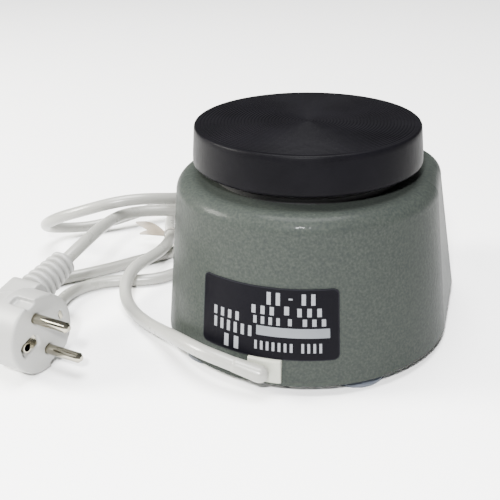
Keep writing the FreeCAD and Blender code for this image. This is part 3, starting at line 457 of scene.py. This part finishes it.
# ---------------------------------------------------------------- mains lead
GROUND = 0.00335
OVER = 0.0103
ROUTE = [
    # out of the cord block, along the wall and down to the ground
    (0.0115, 0.0739, 0.0149), (0.0205, 0.0726, 0.0162), (0.0300, 0.0698, 0.0167),
    (0.0400, 0.0638, 0.0156), (0.0500, 0.0556, 0.0126),
    (0.0610, 0.0455, 0.0082), (0.0730, 0.0360, 0.0048),
    (0.0865, 0.0255, 0.0038), (0.0955, 0.0160, 0.0056), (0.1005, 0.0055, 0.0094),
    # over the two stretches that come back from the plug
    (0.1015, -0.0065, 0.0116), (0.0990, -0.0185, 0.0119), (0.0965, -0.0305, 0.0118),
    (0.0975, -0.0430, 0.0116), (0.1020, -0.0560, 0.0094),
    (0.1090, -0.0700, 0.0056), (0.1170, -0.0855, 0.0039),
    # first turn behind the housing
    (0.1220, -0.1010, GROUND), (0.1190, -0.1170, GROUND), (0.1080, -0.1290, GROUND),
    (0.0930, -0.1325, GROUND), (0.0775, -0.1285, GROUND),
    (0.0665, -0.1170, GROUND), (0.0625, -0.1020, GROUND), (0.0665, -0.0870, GROUND),
    (0.0765, -0.0730, GROUND), (0.0875, -0.0590, GROUND),
    (0.0990, -0.0450, GROUND), (0.1110, -0.0320, GROUND),
    # past the plug, round beside it and back under the first stretch
    (0.1200, -0.0205, GROUND), (0.1300, -0.0095, GROUND), (0.1410, 0.0008, GROUND),
    (0.1510, 0.0120, GROUND), (0.1605, 0.0240, GROUND),
    (0.1675, 0.0375, GROUND), (0.1700, 0.0510, GROUND), (0.1670, 0.0638, GROUND),
    (0.1576, 0.0724, GROUND), (0.1452, 0.0726, GROUND),
    (0.1355, 0.0646, GROUND), (0.1302, 0.0530, GROUND), (0.1280, 0.0410, GROUND),
    (0.1273, 0.0295, GROUND),
    (0.1294, 0.0195, GROUND), (0.1266, 0.0095, GROUND),
    (0.1200, 0.0008, GROUND), (0.1110, -0.0050, GROUND), (0.1005, -0.0080, GROUND),
    (0.0910, -0.0130, GROUND), (0.0845, -0.0210, GROUND),
    (0.0810, -0.0310, GROUND), (0.0786, -0.0430, GROUND), (0.0748, -0.0565, GROUND),
    # along the housing's front corner and round behind everything
    (0.0685, -0.0700, GROUND), (0.0585, -0.0825, GROUND), (0.0445, -0.0935, GROUND),
    (0.0275, -0.1060, GROUND),
    (0.0125, -0.1215, GROUND), (0.0060, -0.1380, GROUND), (0.0095, -0.1550, GROUND),
    (0.0210, -0.1670, GROUND), (0.0370, -0.1710, 0.0036),
    (0.0535, -0.1670, 0.0052), (0.0680, -0.1580, 0.0094), (0.0790, -0.1450, 0.0156),
    (0.0860, -0.1300, 0.0212), (0.0900, -0.1135, 0.0244),
    (0.0920, -0.0970, 0.0264), (0.0930, -0.0810, 0.0292), (0.0935, -0.0660, 0.0326),
    # the long loop: it leaves from behind the housing in the air and reaches furthest to the side
    (0.0946, -0.0523, 0.0360), (0.1006, -0.0425, 0.0390), (0.1078, -0.0348, 0.0408),
    (0.1158, -0.0290, 0.0410), (0.1240, -0.0246, 0.0398),
    (0.1334, -0.0222, 0.0370), (0.1440, -0.0218, 0.0332), (0.1554, -0.0236, 0.0286),
    (0.1660, -0.0280, 0.0226), (0.1734, -0.0348, 0.0168),
    (0.1768, -0.0428, 0.0118), (0.1756, -0.0508, 0.0082), (0.1704, -0.0578, 0.0060),
    (0.1630, -0.0642, 0.0050), (0.1546, -0.0708, 0.0056),
    (0.1455, -0.0786, 0.0072),
    (0.1350, -0.0904, 0.0092),
    # second turn, which lies on the first
    (0.1240, -0.1015, OVER), (0.1110, -0.1120, OVER), (0.0960, -0.1235, OVER),
    (0.0800, -0.1365, OVER), (0.0625, -0.1480, OVER),
    (0.0460, -0.1515, OVER), (0.0305, -0.1450, OVER), (0.0205, -0.1320, OVER),
    (0.0180, -0.1155, OVER), (0.0245, -0.1000, OVER),
    (0.0375, -0.0905, 0.0114), (0.0525, -0.0848, 0.0140), (0.0665, -0.0760, 0.0180),
    (0.0800, -0.0646, 0.0232),
    # up to the plug, from below the start of the long loop
    (0.0942, -0.0538, 0.0276), (0.1062, -0.0472, 0.0290), (0.1146, -0.0406, 0.0300),
    (0.1194, -0.0318, 0.0310), (0.1206, -0.0208, 0.0320),
    (0.1194, -0.0084, 0.0332), (0.1176, 0.0046, 0.0342),
    # into the plug's sleeve
    tuple(plug_point(0.061, RELIEF_BACK)), tuple(plug_point(0.047, RELIEF_BACK)),
]


def mains_lead():
    curve = bpy.data.curves.new("mains_lead", "CURVE")
    curve.dimensions = "3D"
    spline = curve.splines.new("NURBS")
    spline.points.add(len(ROUTE) - 1)
    for point, place in zip(spline.points, ROUTE):
        point.co = (*place, 1.0)
    spline.order_u = 3
    spline.use_endpoint_u = True
    curve.resolution_u = 10
    curve.bevel_depth = CORD_RADIUS
    curve.bevel_resolution = 7
    curve.use_fill_caps = True
    curve.materials.append(LEAD)
    lead = bpy.data.objects.new("mains_lead", curve)
    bpy.context.scene.collection.objects.link(lead)
    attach(lead, "base")
    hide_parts("mains_lead_1", "mains_lead_2", "mains_lead_3", "mains_lead_4")


def strip_faces(rings):
    """Faces of a closed strip made of rings of four points each."""
    faces = [(3, 2, 1, 0)]
    for k in range(rings - 1):
        for a in range(4):
            b = (a + 1) % 4
            faces.append((4 * k + a, 4 * k + b, 4 * k + 4 + b, 4 * k + 4 + a))
    last = 4 * (rings - 1)
    faces.append((last, last + 1, last + 2, last + 3))
    return faces


SECTION = ((-1, -1), (1, -1), (1, 1), (-1, 1))     # the four corners of a strip's section


def ribbon(name, path, widths, thickness, up):
    """A flat strip that follows path, widths[k] wide at each point, its width square to up."""
    points = []
    for k, here in enumerate(path):
        way = (path[min(k + 1, len(path) - 1)] - path[max(k - 1, 0)]).normalized()
        side = way.cross(up).normalized()
        skin = side.cross(way).normalized()
        half = widths[k] / 2
        for a, b in SECTION:
            points.append(here + side * half * a + skin * thickness / 2 * b)
    return mesh_piece(name, points, strip_faces(len(path)), TIE, "base", smooth_below=60.0)


def wire_tie():
    """A coated wire tie: three turns round the lead and two flat pointed ends."""
    middle = Vector((0.1052, -0.0624, 0.0076))
    way = Vector((0.007, -0.014, -0.0038)).normalized()
    side = Vector((0, 0, 1)).cross(way).normalized()
    rise = way.cross(side).normalized()
    turns = 3
    steps = 66
    band_length = 0.0044
    half_width = 0.0010
    half_thickness = 0.00035
    points = []
    for k in range(steps + 1):
        turn = 2.0 * math.pi * turns * k / steps
        out = side * math.cos(turn) + rise * math.sin(turn)
        here = middle + out * (CORD_RADIUS + 0.0007) + way * (band_length * k / steps - band_length / 2)
        for a, b in SECTION:
            points.append(here + way * half_width * a + out * half_thickness * b)
    band = mesh_piece("tie_band", points, strip_faces(steps + 1), TIE_BAND, "base", smooth_below=60.0)
    root = middle + side * (CORD_RADIUS + 0.0006)
    tip_width = 0.0008
    thickness = 0.0007
    tails = []
    # each end: name, reach, lift, how far it drifts along the lead, widest part
    ends = [
        ("tie_end_upper", 0.0165, 0.0085, 0.0050, 0.0056),
        ("tie_end_lower", 0.0145, 0.0026, -0.0048, 0.0040),
    ]
    for name, reach, lift, drift, wide in ends:
        path = []
        widths = []
        for k in range(15):
            t = k / 14
            bow = 0.0012 * math.sin(math.pi * t)
            path.append(root + side * reach * t + Vector((0, 0, 1)) * (lift * t + bow) + way * drift * t)
            widths.append(tip_width + (wide - tip_width) * math.sin(math.pi * (0.12 + 0.88 * t)))
        tails.append(ribbon(name, path, widths, thickness, Vector((0.0, 0.8, 1.0))))
    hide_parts("cord_tie")
    return [band] + tails


sleeve = strain_relief()
tie = wire_tie()
mains_lead()


# ---------------------------------------------------------------- marks on the control panel
def panel_point(x, up, out):
    """A point on the sloping panel: up is measured along its slope from the panel's middle."""
    middle = Vector((0.0, -0.07342, 0.040))
    normal = Vector((0.0, -0.94937, 0.31415))
    slope = Vector((0.0, 0.31415, 0.94937))
    return middle + Vector((x, 0, 0)) + slope * up + normal * out


def panel_marks():
    """Scale ticks over the 280 degrees that the knob turns; those at the ends and the middle are bolder."""
    lift = 0.0001
    ticks = 11
    first_tick = 230.0
    step = 28.0
    inner = 0.0158
    points = []
    faces = []
    for k in range(ticks):
        bold = k % 5 == 0
        turn = math.radians(first_tick - step * k)
        along = (math.cos(turn), math.sin(turn))
        square = (-along[1], along[0])
        outer = 0.0180 + 0.0012 * bold
        half = 0.0003 + 0.00015 * bold
        first = len(points)
        for reach, side in ((inner, -half), (outer, -half), (outer, half), (inner, half)):
            x = KNOB_X + along[0] * reach + square[0] * side
            up = along[1] * reach + square[1] * side
            points.append(panel_point(x, up, PANEL_FACE + lift))
        faces.append((first, first + 1, first + 2, first + 3))
    marks = mesh_piece("panel_scale", points, faces, LABEL_WHITE, "base")


def knob_pointer():
    """White paint in the groove on the knob's face."""
    half = 0.0006
    low, high = 0.0034, 0.0115
    corners = [(-half, low), (half, low), (half, high), (-half, high)]
    points = [panel_point(KNOB_X + x, up, KNOB_FACE) for x, up in corners]
    pointer = mesh_piece("knob_pointer", points, [(0, 1, 2, 3)], LABEL_WHITE, "knob")


panel_marks()
knob_pointer()


# ---------------------------------------------------------------- floor, light and camera
def floor():
    mesh = bpy.data.meshes.new("floor")
    reach = 6.0
    corners = [(-reach, -reach, 0), (reach, -reach, 0), (reach, reach, 0), (-reach, reach, 0)]
    mesh.from_pydata(corners, [], [(0, 1, 2, 3)])
    pale = bpy.data.materials.new("floor_pale")
    pale.use_nodes = True
    shader = pale.node_tree.nodes["Principled BSDF"]
    shader.inputs["Base Color"].default_value = (0.95, 0.95, 0.95, 1.0)
    shader.inputs["Roughness"].default_value = 0.9
    mesh.materials.append(pale)
    plane = bpy.data.objects.new("floor", mesh)
    bpy.context.scene.collection.objects.link(plane)


def softbox(name, place, toward, size, watts, color=(1.0, 1.0, 1.0)):
    light = bpy.data.lights.new(name, "AREA")
    light.shape = "DISK"
    light.size = size
    light.energy = watts
    light.color = color
    lamp = bpy.data.objects.new(name, light)
    lamp.location = place
    lamp.rotation_euler = (Vector(toward) - Vector(place)).to_track_quat("-Z", "Y").to_euler()
    bpy.context.scene.collection.objects.link(lamp)


def studio():
    floor()
    world = bpy.data.worlds.new("studio")
    world.use_nodes = True
    world.node_tree.nodes["Background"].inputs["Color"].default_value = (1.0, 1.0, 1.0, 1.0)
    world.node_tree.nodes["Background"].inputs["Strength"].default_value = 0.22
    bpy.context.scene.world = world
    softbox("overhead", (0.1, -0.1, 2.2), (0.0, -0.1, 0.0), 1.5, 165.0)
    softbox("key", (1.0, 0.3, 0.6), (0.0, 0.0, 0.05), 0.4, 46.0, (1.0, 0.98, 0.90))
    softbox("flash", (-0.08, 0.50, 0.42), (0.0, 0.0, 0.06), 0.05, 10.0)


def camera():
    data = bpy.data.cameras.new("camera")
    data.sensor_width = 36.0
    data.lens = 59.2
    data.shift_x = -0.117
    data.shift_y = 0.009
    data.clip_start = 0.01
    seen_from = bpy.data.objects.new("camera", data)
    place = Vector((-0.10218, 0.35578, 0.21177))
    toward = Vector((-0.002587, 0.00844, 0.040196))
    aim = (toward - place).to_track_quat("-Z", "Y")
    seen_from.location = place
    seen_from.rotation_euler = aim.to_euler()
    bpy.context.scene.collection.objects.link(seen_from)
    bpy.context.scene.camera = seen_from


studio()
camera()
